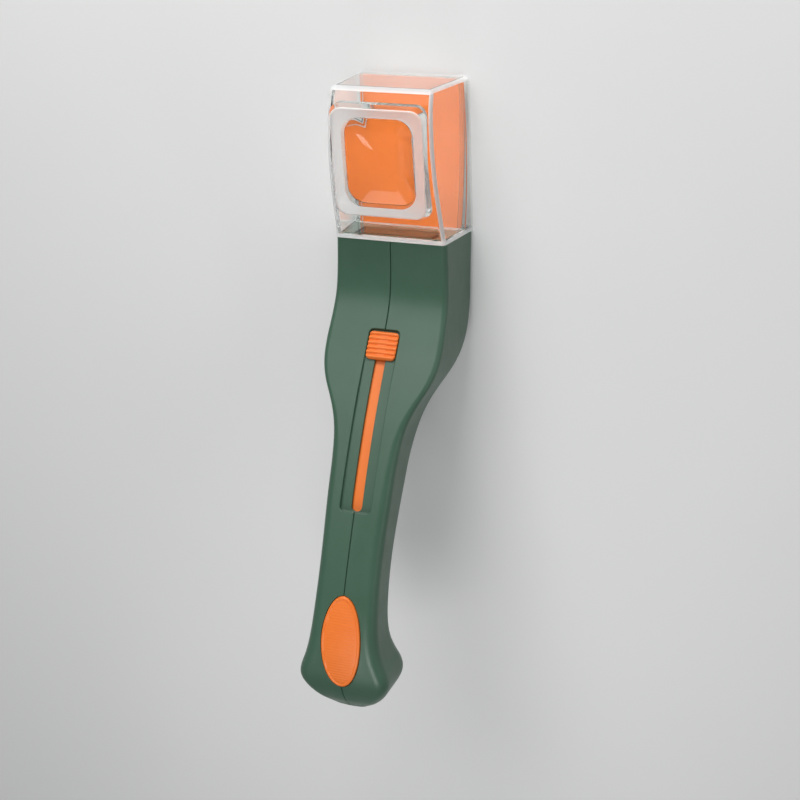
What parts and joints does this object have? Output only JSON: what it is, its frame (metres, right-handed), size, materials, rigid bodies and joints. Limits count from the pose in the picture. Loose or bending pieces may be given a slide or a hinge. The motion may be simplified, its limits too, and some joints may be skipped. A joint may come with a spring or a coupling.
{
  "type": "bug viewer",
  "caption": "Hand-held bug catcher: clear tapered chamber with a square magnifier, curved two-part handle, and a thumb slider that draws a trap door into the neck.",
  "frame": {"origin": "centre of the bounding box's bottom face: on the plane of the chamber's open rim", "axes": "+Y towards the chamber's far end, +Z out of the magnifier, +X towards the right-hand shell seen from the handle; the rim lies on Z = 0"},
  "size_m": [0.0608, 0.2874, 0.1054],
  "materials": {
    "green_plastic": "satin dark green moulded plastic",
    "orange_plastic": "satin orange moulded plastic",
    "clear_plastic": "polished clear moulded plastic",
    "screw_steel": "bright zinc-plated steel"
  },
  "bodies": {
    "handle": {"handle_left_shell": "green_plastic", "handle_right_shell": "green_plastic", "viewing_chamber": "clear_plastic", "magnifier_lens": "clear_plastic", "mouth_frame": "clear_plastic", "oval_grip": "orange_plastic", "handle_screw_1": "screw_steel", "handle_screw_2": "screw_steel", "handle_screw_3": "screw_steel", "handle_screw_4": "screw_steel", "handle_screw_5": "screw_steel"},
    "slider": {"slider_button": "orange_plastic", "slot_cover_strip": "orange_plastic", "slider_carriage": "orange_plastic", "slider_screw": "screw_steel", "drive_pin": "screw_steel"},
    "door": {"door_panel": "orange_plastic", "door_drive_arm": "orange_plastic", "door_arm_rivet_1": "screw_steel", "door_arm_rivet_2": "screw_steel"}
  },
  "joints": [
    {"name": "slider_travel", "type": "hinge", "parent": "handle", "child": "slider", "pos_m": [0, -0.18288, -0.25354], "axis": [1, 0, 0], "range_deg": [0, 11.3]},
    {"name": "door_travel", "type": "hinge", "parent": "handle", "child": "door", "pos_m": [0, 0.1111, 0.2116], "axis": [-1, 0, 0], "range_deg": [0, 18.32]}
  ],
  "couplings": [
    {"joint": "door_travel", "follows": "slider_travel", "ratio": 1.6199}
  ]
}
